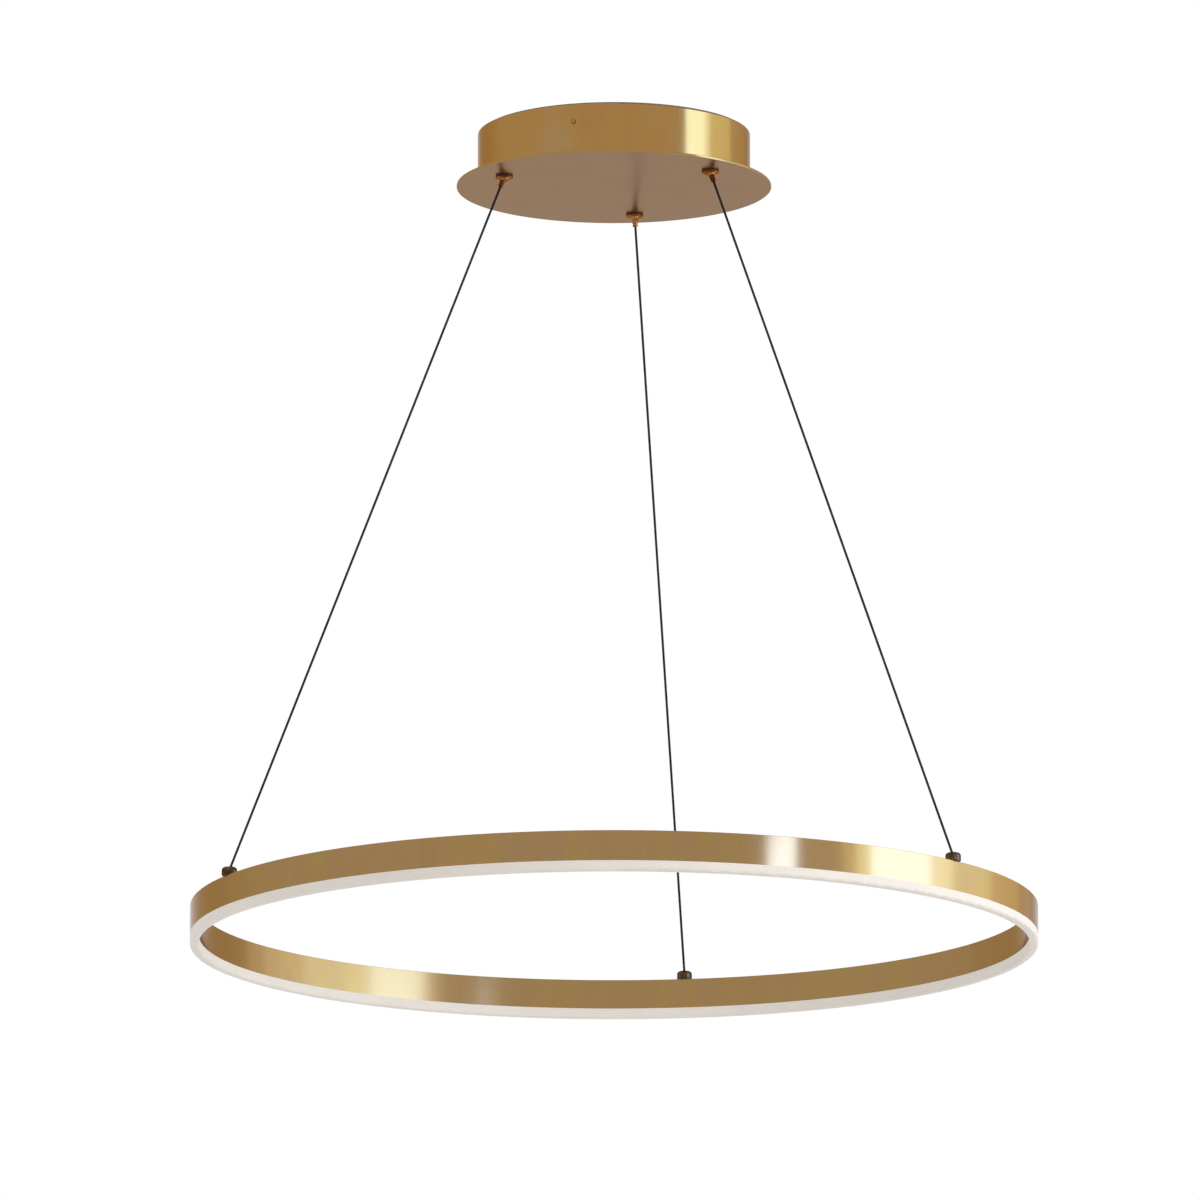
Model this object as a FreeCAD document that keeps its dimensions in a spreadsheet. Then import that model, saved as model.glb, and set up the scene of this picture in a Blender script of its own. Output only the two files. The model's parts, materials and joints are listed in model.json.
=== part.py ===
"""LED ring chandelier: a slim ring of light hung by three steel cables from a round ceiling canopy.

Millimetres and degrees. The origin is the centre of the mounting plate's top face, which lies
against the ceiling; +Z is up, -Y is the side that is looked at. Angles run from +X towards +Y.
"""
import FreeCAD
import Part
import Sketcher
import math
import os
import re

SIZES = {
    # ring
    "ring_diameter": 800,
    "ring_width": 8.5,
    "channel_height": 28,
    "channel_wall": 1.0,
    "channel_web": 1.5,
    "channel_edge": 0.3,
    "diffuser_drop": 9.5,
    "diffuser_tongue": 5,
    "diffuser_wall": 1.2,
    "diffuser_floor": 1.6,
    "diffuser_play": 0.15,
    "diffuser_edge": 2.5,
    "strip_width": 5,
    "strip_thickness": 0.4,
    "strip_setback": 12,
    "chip_length": 3.5,
    "chip_width": 2.8,
    "chip_height": 0.7,
    "chip_count": 32,
    # suspension
    "suspension_drop": 698,
    "anchor_angle_1": 80,
    "anchor_angle_2": 205,
    "anchor_angle_3": 322.5,
    "gripper_inset": 15,
    "cable_diameter": 2.4,
    # cap and ball end on the ring
    "cap_diameter": 14.5,
    "cap_height": 7.5,
    "cap_edge": 3.0,
    "cap_mouth": 7.8,
    "ball_diameter": 4.6,
    "ball_flat": 2.6,
    "ball_height": 4.8,
    "ball_lip": 0.85,
    "ball_play": 0.05,
    "cap_washer_diameter": 13,
    "cap_washer_thickness": 0.8,
    "anchor_bush_diameter": 5,
    "anchor_bush_flange": 6.2,
    "anchor_bush_rim": 0.6,
    "anchor_screw_diameter": 4,
    "anchor_head_diameter": 6,
    "anchor_head_height": 1.8,
    "anchor_thread": 2.4,
    "anchor_play": 0.05,
    "feed_lug_thickness": 0.4,
    "feed_wire_diameter": 0.8,
    "feed_lap": 2,
    # canopy
    "ceiling_gap": 1.5,
    "drum_diameter": 260,
    "drum_height": 50,
    "drum_wall": 1.2,
    "drum_edge": 1.5,
    "drum_lip": 1.8,
    "plate_diameter": 300,
    "plate_thickness": 2,
    "plate_edge": 0.4,
    "mount_thickness": 2,
    "mount_play": 0.7,
    "mount_hole_circle": 190,
    "mount_hole_diameter": 5.5,
    "tab_width": 16,
    "tab_thickness": 2,
    "tab_height": 22,
    "side_screw_angle": 252.5,
    "side_screw_depth": 18,
    "side_screw_diameter": 3,
    "side_screw_head": 5.6,
    "side_screw_head_height": 1.6,
    "side_screw_end": 2,
    "side_screw_slot": 0.8,
    "side_screw_slot_depth": 0.7,
    "screw_play": 0.2,
    # cable entry
    "entry_bore": 9,
    "entry_hole": 16,
    "entry_flange": 21,
    "entry_flange_thickness": 2,
    "entry_nose": 13,
    "entry_nose_length": 3,
    # fixings of the drum to the plate
    "bracket_angle": 50,
    "bracket_width": 14,
    "bracket_leg": 14,
    "bracket_height": 12,
    "bracket_thickness": 1.5,
    "stud_diameter": 4,
    "stud_height": 7,
    "nut_flats": 7,
    "nut_height": 3.2,
    "thread_play": 0.05,
    # gripper
    "collar_diameter": 16.5,
    "collar_thickness": 2,
    "collar_edge": 0.5,
    "collar_washer_diameter": 15.8,
    "collar_washer_thickness": 0.5,
    "neck_diameter": 12.5,
    "neck_height": 6.5,
    "bush_wall": 0.8,
    "bush_play": 0.1,
    "bush_flange": 17.5,
    "bush_rim": 1.5,
    "locknut_flats": 17,
    "locknut_height": 4,
    "swivel_diameter": 10,
    "swivel_play": 0.05,
    "swivel_depth": 1.5,
    "barrel_diameter": 5.2,
    "barrel_length": 8,
    "cable_bore": 3.0,
    "sleeve_diameter": 4.1,
    "sleeve_play": 0.05,
    "sleeve_stem": 5,
    "sleeve_head": 1.2,
    "press_travel": 1.5,
    "spring_diameter": 3.9,
    "spring_bore": 2.8,
    "spring_seat": 0.7,
    # driver, terminal block and leads
    "driver_length": 102,
    "driver_width": 40,
    "driver_height": 26,
    "driver_edge": 2,
    "driver_y": 45,
    "cover_length": 14,
    "cover_recess": 5,
    "cover_wall": 2,
    "ear_length": 9,
    "ear_width": 16,
    "ear_thickness": 2.5,
    "block_length": 34,
    "block_width": 16,
    "block_height": 13,
    "block_x": 50,
    "block_y": -10,
    "block_pitch": 10,
    "clamp_screw_diameter": 3.4,
    "clamp_screw_height": 1,
    "clamp_screw_spread": 8,
    "earth_angle": 282,
    "earth_circle": 92,
    "lug_diameter": 8,
    "lug_thickness": 0.8,
    "lug_tongue": 6,
    "lug_angle": 35,
    "lead_diameter": 2.2,
    "lead_level": 13,
    "lead_pitch": 8,
    "output_exit_2": 14,
    "output_exit_3": 16,
    "supply_exit_live": 11,
    "supply_exit_neutral": 14,
    "earth_exit": 9,
    "earth_entry": 12,
    "tail_gap": 0.6,
    "tail_rise": 22,
    "tail_run": 22,
    "tail_corner": 9,
    "crimp_wall": 1.2,
    "crimp_lap": 6,
    "crimp_play": 0.05,
}

PIECES = []

# Levels, outward radii and lengths, as formulas of the sizes.
PLATE_TOP = "-(ceiling_gap + drum_height)"
PLATE_BOTTOM = f"({PLATE_TOP} - plate_thickness)"
COLLAR_TOP = f"({PLATE_BOTTOM} - collar_washer_thickness)"
COLLAR_BOTTOM = f"({COLLAR_TOP} - collar_thickness)"
PIVOT_Z = f"({COLLAR_BOTTOM} + swivel_depth)"
RING_TOP = f"({PLATE_BOTTOM} - suspension_drop)"
CAP_BOTTOM = f"({RING_TOP} + cap_washer_thickness)"
BALL_Z = f"({CAP_BOTTOM} + ball_height)"
HEAD_TOP = "(-channel_web - anchor_bush_rim - feed_lug_thickness)"
RING_OUTER = "(ring_diameter / 2)"
RING_INNER = "(ring_diameter / 2 - ring_width)"
ANCHOR_RADIUS = "(ring_diameter / 2 - ring_width / 2)"
GRIPPER_RADIUS = "(drum_diameter / 2 - gripper_inset)"
CABLE_RUN = f"({ANCHOR_RADIUS} - {GRIPPER_RADIUS})"
CABLE_FALL = f"({PIVOT_Z} - {BALL_Z})"
CABLE_TILT = f"atan({CABLE_RUN} / {CABLE_FALL})"
CABLE_SPAN = f"sqrt({CABLE_RUN}^2 + {CABLE_FALL}^2)"
CABLE_CUT = "(sqrt(ball_diameter^2 - ball_flat^2) / 2)"
DRUM_INNER = "(drum_diameter / 2 - drum_wall)"
MOUNT_RADIUS = "(drum_diameter / 2 - drum_edge - drum_lip - mount_play)"
BUSH_RADIUS = "(neck_diameter / 2 + bush_play + bush_wall)"
BLOCK_TOP = f"({PLATE_TOP} + block_height)"
SWIVEL_SEAT = "(swivel_diameter / 2 + swivel_play)"
SLEEVE_TOP = "(-barrel_length - press_travel + sleeve_stem)"

ANCHOR_ANGLES = ["anchor_angle_1", "anchor_angle_2", "anchor_angle_3"]
THIRDS = [0, 120, 240]
OVERCUT = 1


def make_sheet():
    sheet = doc.addObject("Spreadsheet::Sheet", "sizes")
    for row, (alias, number) in enumerate(SIZES.items(), start=1):
        sheet.set(f"A{row}", str(number))
        sheet.setAlias(f"A{row}", alias)
    doc.recompute()
    return sheet


def tied(formula):
    """Points each size named in a formula at its cell of the sheet."""
    return re.sub(r"[a-z]\w+", lambda word: f"sizes.{word[0]}" if word[0] in SIZES else word[0], formula)


def bind(item, prop, formula):
    item.setExpression(prop, tied(formula))


def place(item, x="0", y="0", z="0", turn="0", lean="0"):
    """Puts an item at x, y, z, leaned about its own Y and then turned about Z."""
    bind(item, "Placement", f"placement(vector({x}; {y}; {z}); rotation({turn}; {lean}; 0))")


def around(radius, angle, z, lean="0"):
    """A spot for place: at a radius and angle about Z, turned with the angle."""
    return f"{radius} * cos({angle})", f"{radius} * sin({angle})", z, angle, lean


def place_around(item, radius, angle, z, lean="0"):
    place(item, *around(radius, angle, z, lean))


def keep(item, label):
    item.Label = label
    PIECES.append(item)
    return item


# Building blocks


def add(kind, name, **formulas):
    item = doc.addObject(kind, name)
    for prop, formula in formulas.items():
        bind(item, prop, formula)
    return item


def cylinder(name, radius, height, x="0", y="0", z="0"):
    item = add("Part::Cylinder", name, Radius=radius, Height=height)
    place(item, x, y, z)
    return item


def box(name, length, width, height, x="0", y="0", z="0"):
    """A box whose length and width are centred on x and y, standing on z."""
    item = add("Part::Box", name, Length=length, Width=width, Height=height)
    place(item, f"{x} - ({length}) / 2", f"{y} - ({width}) / 2", z)
    return item


def hexagon(name, flats, height):
    item = add("Part::Prism", name, Circumradius=f"{flats} / sqrt(3)", Height=height)
    item.Polygon = 6
    return item


def fuse(name, *shapes):
    item = doc.addObject("Part::MultiFuse", name)
    item.Shapes = list(shapes)
    item.Refine = True
    return item


def cut(name, base, *tools):
    item = doc.addObject("Part::Cut", name)
    item.Base = base
    item.Tool = tools[0] if len(tools) == 1 else fuse(f"{name}_tools", *tools)
    return item


def sketch(body, plane, outline):
    """A closed outline whose corners are formulas, on one of the body's own origin planes."""
    item = body.newObject("Sketcher::SketchObject", f"{body.Name}_outline")
    support = [feature for feature in body.Origin.OriginFeatures if feature.Role == plane][0]
    item.AttachmentSupport = (support, [""])
    item.MapMode = "FlatFace"
    count = len(outline)
    first = [FreeCAD.Vector(math.cos(2 * math.pi * i / count), math.sin(2 * math.pi * i / count), 0)
             for i in range(count)]
    for i in range(count):
        item.addGeometry(Part.LineSegment(first[i], first[(i + 1) % count]), False)
    for i in range(count):
        item.addConstraint(Sketcher.Constraint("Coincident", i, 2, (i + 1) % count, 1))
    for i, corner in enumerate(outline):
        for axis, start, formula in zip("XY", first[i], corner):
            index = item.addConstraint(Sketcher.Constraint(f"Distance{axis}", -1, 1, i, 1, start))
            bind(item, f"Constraints[{index}]", formula)
    return item


def revolved(name, outline):
    """A body turned about Z from an outline of (radius, level) corners."""
    body = doc.addObject("PartDesign::Body", name)
    profile = sketch(body, "XZ_Plane", outline)
    turn = body.newObject("PartDesign::Revolution", f"{name}_turn")
    turn.Profile = profile
    turn.ReferenceAxis = (profile, ["V_Axis"])
    turn.Angle = 360
    doc.recompute()
    return body


def rounded(body, radius, *circles):
    """Fillets the circular edges that lie at the given (radius, level) pairs."""
    last = body.Tip
    names = []
    for number, edge in enumerate(last.Shape.Edges, start=1):
        if not isinstance(edge.Curve, Part.Circle):
            continue
        for reach, level in circles:
            if abs(edge.Curve.Radius - reach) < 1e-4 and abs(edge.Curve.Center.z - level) < 1e-4:
                names.append(f"Edge{number}")
    fillet = body.newObject("PartDesign::Fillet", f"{body.Name}_round")
    fillet.Base = (last, names)
    bind(fillet, "Radius", radius)
    doc.recompute()
    return body


def together(label, items):
    """One node made of separate solids."""
    group = doc.addObject("Part::Compound", f"{label}_group")
    group.Links = items
    return keep(group, label)


def grouped(label, master, spots):
    """One node with a copy of the master at each spot."""
    copies = []
    for number, spot in enumerate(spots, start=1):
        copy = doc.addObject("App::Link", f"{label}_{number}")
        copy.LinkedObject = master
        copy.LinkTransform = False
        place(copy, *spot)
        copies.append(copy)
    return together(label, copies)


def at_anchors(radius, z):
    return [around(radius, angle, z) for angle in ANCHOR_ANGLES]


def at_thirds(radius, first, z, lean="0"):
    return [around(radius, f"({first} + {third})", z, lean) for third in THIRDS]


def point(radius, angle, z):
    turn = math.radians(angle)
    return FreeCAD.Vector(radius * math.cos(turn), radius * math.sin(turn), z)


def tube(points, diameter):
    """A round lead along straight runs joined by tangent arcs."""
    edges = []
    start = points[0]
    for before, corner, after in zip(points, points[1:], points[2:]):
        back = (before - corner).normalize()
        ahead = (after - corner).normalize()
        half_turn = (math.pi - back.getAngle(ahead)) / 2
        shorter = min((before - corner).Length, (after - corner).Length)
        trim = 0.45 * shorter
        radius = trim / math.tan(half_turn)
        centre = corner + (back + ahead).normalize() * (radius / math.cos(half_turn))
        middle = centre + (corner - centre).normalize() * radius
        enter = corner + back * trim
        leave = corner + ahead * trim
        edges.append(Part.LineSegment(start, enter).toShape())
        edges.append(Part.Arc(enter, middle, leave).toShape())
        start = leave
        print(f"bend radius {radius:.1f} mm on a {diameter} mm lead")
    edges.append(Part.LineSegment(start, points[-1]).toShape())
    path = Part.Wire(edges)
    ring = Part.Wire([Part.Circle(points[0], points[1] - points[0], diameter / 2).toShape()])
    solid = path.makePipeShell([ring], True, False)
    whole = math.pi * diameter ** 2 / 4 * path.Length
    if abs(solid.Volume - whole) > 0.01 * whole:
        raise RuntimeError("a lead's volume differs from its section times its length")
    return solid


def shaped(label, solids):
    item = doc.addObject("Part::Feature", f"{label}_shape")
    item.Shape = Part.makeCompound(solids)
    return keep(item, label)


# Ceiling side of the canopy


def mounting_plate():
    disc = cylinder("mount_disc", MOUNT_RADIUS, "mount_thickness", z="-mount_thickness")
    tabs = []
    holes = []
    for third in THIRDS:
        tab = add("Part::Box", f"tab_{third}", Length="tab_thickness", Width="tab_width", Height="tab_height")
        angle = f"(side_screw_angle + {third})"
        inner = f"(sqrt({MOUNT_RADIUS}^2 - tab_width^2 / 4) - tab_thickness)"
        across = "tab_width / 2"
        place(tab, f"{inner} * cos({angle}) + {across} * sin({angle})",
              f"{inner} * sin({angle}) - {across} * cos({angle})", "-tab_height", angle)
        tabs.append(tab)
        hole = add("Part::Cylinder", f"tab_hole_{third}", Radius="side_screw_diameter / 2 + thread_play",
                   Height=f"{MOUNT_RADIUS} / 2 + {OVERCUT}")
        place_around(hole, f"{MOUNT_RADIUS} / 2", angle, "-side_screw_depth", "90")
        holes.append(hole)
    for number in range(4):
        hole = cylinder(f"ceiling_hole_{number + 1}", "mount_hole_diameter / 2",
                        f"mount_thickness + {2 * OVERCUT}")
        place_around(hole, "mount_hole_circle / 2", str(45 + 90 * number), f"-mount_thickness - {OVERCUT}")
        holes.append(hole)
    entry = cylinder("entry_cut", "entry_hole / 2", f"mount_thickness + {2 * OVERCUT}",
                     z=f"-mount_thickness - {OVERCUT}")
    return keep(cut("mount_solid", fuse("mount_blank", disc, *tabs), entry, *holes), "mounting_plate")


def cable_grommet():
    flange_bottom = "-(mount_thickness + entry_flange_thickness)"
    outline = [
        ("entry_bore / 2", "0"),
        ("entry_hole / 2", "0"),
        ("entry_hole / 2", "-mount_thickness"),
        ("entry_flange / 2", "-mount_thickness"),
        ("entry_flange / 2", flange_bottom),
        ("entry_nose / 2", flange_bottom),
        ("entry_nose / 2", f"{flange_bottom} - entry_nose_length"),
        ("entry_bore / 2", f"{flange_bottom} - entry_nose_length"),
    ]
    return keep(revolved("grommet_body", outline), "cable_grommet")


def canopy_drum():
    outer = "drum_diameter / 2"
    top = "-ceiling_gap"
    lip = f"({outer} - drum_edge - drum_lip)"
    outline = [
        (outer, PLATE_TOP),
        (outer, top),
        (lip, top),
        (lip, f"{top} - drum_wall"),
        (DRUM_INNER, f"{top} - drum_wall"),
        (DRUM_INNER, PLATE_TOP),
    ]
    body = revolved("drum_skirt", outline)
    size = SIZES
    rounded(body, "drum_edge", (size["drum_diameter"] / 2, -size["ceiling_gap"]))
    inner = size["drum_diameter"] / 2 - size["drum_wall"]
    rounded(body, "drum_edge - drum_wall", (inner, -size["ceiling_gap"] - size["drum_wall"]))
    holes = []
    for third in THIRDS:
        hole = add("Part::Cylinder", f"drum_hole_{third}", Radius="side_screw_diameter / 2 + screw_play",
                   Height=f"drum_wall + {2 * OVERCUT}")
        place_around(hole, f"({DRUM_INNER} - {OVERCUT})", f"(side_screw_angle + {third})",
                     "-side_screw_depth", "90")
        holes.append(hole)
    return keep(cut("drum_solid", body, *holes), "canopy_drum")


def side_screws():
    tip = f"({MOUNT_RADIUS} - tab_thickness - side_screw_end)"
    shank = cylinder("side_shank", "side_screw_diameter / 2", f"drum_diameter / 2 - {tip}")
    head = cylinder("side_head", "side_screw_head / 2", "side_screw_head_height",
                    z=f"drum_diameter / 2 - {tip}")
    slot = box("side_slot", f"side_screw_head + {OVERCUT}", "side_screw_slot",
               f"side_screw_slot_depth + {OVERCUT}",
               z=f"drum_diameter / 2 - {tip} + side_screw_head_height - side_screw_slot_depth")
    master = cut("side_screw_master", fuse("side_screw_blank", shank, head), slot)
    spots = at_thirds(tip, "side_screw_angle", "-side_screw_depth", "90")
    return grouped("side_screws", master, spots)


# Visible plate and what fixes it

BRACKET_BACK = f"sqrt({DRUM_INNER}^2 - bracket_width^2 / 4)"
BRACKET_STUD = f"({BRACKET_BACK} - (bracket_leg + bracket_thickness) / 2)"
EAR_STUD_X = "(driver_length / 2 + cover_length + ear_length / 2)"
EARTH_RADIUS = "(earth_circle / 2)"


def stud(name):
    return cylinder(name, "stud_diameter / 2", "stud_height + plate_thickness / 2")


def canopy_plate():
    outline = [
        ("0", PLATE_TOP),
        ("plate_diameter / 2", PLATE_TOP),
        ("plate_diameter / 2", PLATE_BOTTOM),
        ("0", PLATE_BOTTOM),
    ]
    disc = revolved("plate_disc", outline)
    rim = SIZES["plate_diameter"] / 2
    top = -SIZES["ceiling_gap"] - SIZES["drum_height"]
    rounded(disc, "plate_edge", (rim, top), (rim, top - SIZES["plate_thickness"]))
    foot = f"{PLATE_TOP} - plate_thickness / 2"
    studs = []
    for third in THIRDS:
        item = stud(f"bracket_stud_{third}")
        place_around(item, BRACKET_STUD, f"(bracket_angle + {third})", foot)
        studs.append(item)
    for side in (-1, 1):
        item = stud("driver_stud")
        place(item, f"{side} * {EAR_STUD_X}", "driver_y", foot)
        studs.append(item)
    earth = stud("earth_stud")
    place_around(earth, EARTH_RADIUS, "earth_angle", foot)
    holes = []
    for angle in ANCHOR_ANGLES:
        hole = cylinder("gripper_hole", f"{BUSH_RADIUS} + bush_play", f"plate_thickness + {2 * OVERCUT}")
        place_around(hole, GRIPPER_RADIUS, angle, f"{PLATE_BOTTOM} - {OVERCUT}")
        holes.append(hole)
    return keep(cut("plate_solid", fuse("plate_blank", disc, *studs, earth), *holes), "canopy_plate")


def drum_brackets():
    upright = box("bracket_upright", "bracket_thickness", "bracket_width", "bracket_height",
                  x="-bracket_thickness / 2")
    foot = box("bracket_foot", "bracket_leg", "bracket_width", "bracket_thickness", x="-bracket_leg / 2")
    hole = cylinder("bracket_hole", "stud_diameter / 2 + screw_play", f"bracket_thickness + {2 * OVERCUT}",
                    x="-(bracket_leg + bracket_thickness) / 2", z=f"-{OVERCUT}")
    master = cut("bracket_master", fuse("bracket_blank", upright, foot), hole)
    return grouped("drum_brackets", master, at_thirds(BRACKET_BACK, "bracket_angle", PLATE_TOP))


def nut(name):
    hole = cylinder(f"{name}_hole", "stud_diameter / 2 + thread_play", f"nut_height + {2 * OVERCUT}",
                    z=f"-{OVERCUT}")
    return cut(f"{name}_master", hexagon(f"{name}_blank", "nut_flats", "nut_height"), hole)


def bracket_nuts():
    spots = at_thirds(BRACKET_STUD, "bracket_angle", f"{PLATE_TOP} + bracket_thickness")
    return grouped("bracket_nuts", nut("bracket_nut"), spots)


# Driver, terminal block and earth


def driver_housing():
    blank = box("driver_blank", "driver_length", "driver_width", "driver_height", y="driver_y", z=PLATE_TOP)
    doc.recompute()
    item = doc.addObject("Part::Fillet", "driver_round")
    item.Base = blank
    edges = []
    for number, edge in enumerate(blank.Shape.Edges, start=1):
        along = edge.Vertexes[0].Point - edge.Vertexes[1].Point
        if abs(along.x) > 1 and edge.CenterOfMass.z > blank.Shape.CenterOfMass.z:
            edges.append((number, SIZES["driver_edge"], SIZES["driver_edge"]))
    item.Edges = edges
    return keep(item, "driver_housing")


def driver_covers():
    shell = box("cover_shell", "cover_length", "driver_width", "driver_height", x="cover_length / 2")
    hollow = box("cover_hollow", "cover_recess", "driver_width - 2 * cover_wall",
                 "driver_height - 2 * cover_wall", x="cover_recess / 2", z="cover_wall")
    ear = box("cover_ear", "ear_length", "ear_width", "ear_thickness", x="cover_length + ear_length / 2")
    hole = cylinder("ear_hole", "stud_diameter / 2 + screw_play", f"ear_thickness + {2 * OVERCUT}",
                    x="cover_length + ear_length / 2", z=f"-{OVERCUT}")
    master = cut("cover_master", fuse("cover_blank", shell, ear), hollow, hole)
    right = ("driver_length / 2", "driver_y", PLATE_TOP)
    left = ("-driver_length / 2", "driver_y", PLATE_TOP, "180")
    return grouped("driver_covers", master, [right, left])


def driver_nuts():
    spots = [(f"{side} * {EAR_STUD_X}", "driver_y", f"{PLATE_TOP} + ear_thickness") for side in (-1, 1)]
    return grouped("driver_nuts", nut("driver_nut"), spots)


def terminal_block():
    return keep(box("block", "block_width", "block_length", "block_height", x="block_x", y="block_y",
                    z=PLATE_TOP), "terminal_block")


def clamp_screws():
    screws = []
    for pole in (-1, 0, 1):
        for side in (-1, 1):
            screws.append(cylinder("clamp_screw", "clamp_screw_diameter / 2", "clamp_screw_height",
                                   x=f"block_x + {side} * clamp_screw_spread / 2",
                                   y=f"block_y + {pole} * block_pitch", z=BLOCK_TOP))
    return together("clamp_screws", screws)


def earth_lug():
    """A ring terminal with its crimped barrel pointing at the terminal block."""
    eye = cylinder("lug_eye", "lug_diameter / 2", "lug_thickness")
    tongue = box("lug_tongue", "lug_tongue", "lead_diameter", "lug_thickness", x="lug_tongue / 2")
    barrel = add("Part::Cylinder", "lug_barrel", Radius="lead_diameter / 2 + crimp_wall", Height="crimp_lap")
    place(barrel, "lug_tongue", z="lead_diameter / 2 + crimp_wall", lean="90")
    bore = add("Part::Cylinder", "lug_bore", Radius="lead_diameter / 2 + crimp_play",
               Height=f"crimp_lap + {OVERCUT}")
    place(bore, "lug_tongue", z="lead_diameter / 2 + crimp_wall", lean="90")
    hole = cylinder("lug_hole", "stud_diameter / 2 + screw_play", f"lug_thickness + {2 * OVERCUT}",
                    z=f"-{OVERCUT}")
    lug = cut("lug_solid", fuse("lug_blank", eye, tongue, barrel), hole, bore)
    place(lug, f"{EARTH_RADIUS} * cos(earth_angle)", f"{EARTH_RADIUS} * sin(earth_angle)", PLATE_TOP,
          "lug_angle")
    return keep(lug, "earth_lug")


def earth_nut():
    item = nut("earth_nut")
    place_around(item, EARTH_RADIUS, "earth_angle", f"{PLATE_TOP} + lug_thickness")
    return keep(item, "earth_nut")


# Grippers


def gripper_collars():
    top = f"({COLLAR_TOP} - {PIVOT_Z})"
    neck_top = f"({PLATE_TOP} + neck_height - {PIVOT_Z})"
    outline = [
        ("0", "-swivel_depth"),
        ("collar_diameter / 2", "-swivel_depth"),
        ("collar_diameter / 2", top),
        ("neck_diameter / 2", top),
        ("neck_diameter / 2", neck_top),
        ("0", neck_top),
    ]
    body = revolved("collar_body", outline)
    rim = SIZES["collar_diameter"] / 2
    bottom = -SIZES["swivel_depth"]
    rounded(body, "collar_edge", (rim, bottom), (rim, bottom + SIZES["collar_thickness"]))
    seat = add("Part::Sphere", "swivel_seat", Radius=SWIVEL_SEAT)
    bore = cylinder("swivel_bore", SWIVEL_SEAT, f"{neck_top} + {OVERCUT}")
    master = cut("collar_master", body, seat, bore)
    return grouped("gripper_collars", master, at_anchors(GRIPPER_RADIUS, PIVOT_Z))


def ring_piece(name, outer, inner, height):
    """A plain washer or tube standing on its own origin."""
    hole = cylinder(f"{name}_hole", inner, f"{height} + {2 * OVERCUT}", z=f"-{OVERCUT}")
    return cut(f"{name}_master", cylinder(f"{name}_blank", outer, height), hole)


def gripper_washers():
    master = ring_piece("collar_washer", "collar_washer_diameter / 2", "neck_diameter / 2 + bush_play",
                        "collar_washer_thickness")
    return grouped("gripper_washers", master, at_anchors(GRIPPER_RADIUS, COLLAR_TOP))


def gripper_bushes():
    bore = "neck_diameter / 2 + bush_play"
    outline = [
        (bore, "-plate_thickness"),
        (BUSH_RADIUS, "-plate_thickness"),
        (BUSH_RADIUS, "0"),
        ("bush_flange / 2", "0"),
        ("bush_flange / 2", "bush_rim"),
        (bore, "bush_rim"),
    ]
    master = revolved("bush_body", outline)
    return grouped("gripper_bushes", master, at_anchors(GRIPPER_RADIUS, PLATE_TOP))


def gripper_locknuts():
    hole = cylinder("locknut_hole", "neck_diameter / 2 + thread_play", f"locknut_height + {2 * OVERCUT}",
                    z=f"-{OVERCUT}")
    master = cut("locknut_master", hexagon("locknut_blank", "locknut_flats", "locknut_height"), hole)
    return grouped("gripper_locknuts", master, at_anchors(GRIPPER_RADIUS, f"{PLATE_TOP} + bush_rim"))


def along_cable(item, angle):
    """Puts an item at a gripper's pivot with its Z axis along the cable."""
    place_around(item, GRIPPER_RADIUS, angle, PIVOT_Z, f"-{CABLE_TILT}")


def gripper_swivel(number, angle):
    ball = add("Part::Sphere", "swivel_ball", Radius="swivel_diameter / 2")
    barrel = cylinder("swivel_barrel", "barrel_diameter / 2", "barrel_length", z="-barrel_length")
    through = cylinder("cable_hole", "cable_bore / 2", f"barrel_length + swivel_diameter / 2 + {2 * OVERCUT}",
                       z=f"-barrel_length - {OVERCUT}")
    bore = cylinder("sleeve_bore", "sleeve_diameter / 2 + sleeve_play",
                    f"barrel_length - spring_seat + {OVERCUT}", z=f"-barrel_length - {OVERCUT}")
    item = cut("swivel_solid", fuse("swivel_blank", ball, barrel), through, bore)
    along_cable(item, angle)
    return keep(item, f"gripper_swivel_{number}")


def release_sleeve(number, angle):
    head_top = "(-barrel_length - press_travel)"
    stem = cylinder("sleeve_stem", "sleeve_diameter / 2", "sleeve_stem", z=head_top)
    head = cylinder("sleeve_head", "barrel_diameter / 2", "sleeve_head", z=f"{head_top} - sleeve_head")
    hole = cylinder("sleeve_hole", "cable_bore / 2", f"sleeve_stem + sleeve_head + {2 * OVERCUT}",
                    z=f"{head_top} - sleeve_head - {OVERCUT}")
    item = cut("sleeve_solid", fuse("sleeve_blank", stem, head), hole)
    along_cable(item, angle)
    return keep(item, f"release_sleeve_{number}")


def release_spring(number, angle):
    length = f"(-spring_seat - {SLEEVE_TOP})"
    wire = cylinder("spring_blank", "spring_diameter / 2", length, z=SLEEVE_TOP)
    hole = cylinder("spring_hole", "spring_bore / 2", f"{length} + {2 * OVERCUT}",
                    z=f"{SLEEVE_TOP} - {OVERCUT}")
    item = cut("spring_solid", wire, hole)
    along_cable(item, angle)
    return keep(item, f"release_spring_{number}")


# Cables


def suspension_cable(number, angle):
    length = f"{CABLE_SPAN} - {CABLE_CUT} + swivel_diameter / 2"
    item = cylinder("cable", "cable_diameter / 2", length)
    place_around(item, f"({ANCHOR_RADIUS} - {CABLE_CUT} * sin({CABLE_TILT}))", angle,
                 f"{BALL_Z} + {CABLE_CUT} * cos({CABLE_TILT})", f"-{CABLE_TILT}")
    return keep(item, f"suspension_cable_{number}")


def ball_end(number, angle):
    item = add("Part::Sphere", "ball", Radius="ball_diameter / 2", Angle2="acos(ball_flat / ball_diameter)")
    place_around(item, ANCHOR_RADIUS, angle, BALL_Z, f"-{CABLE_TILT}")
    return keep(item, f"ball_end_{number}")


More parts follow.
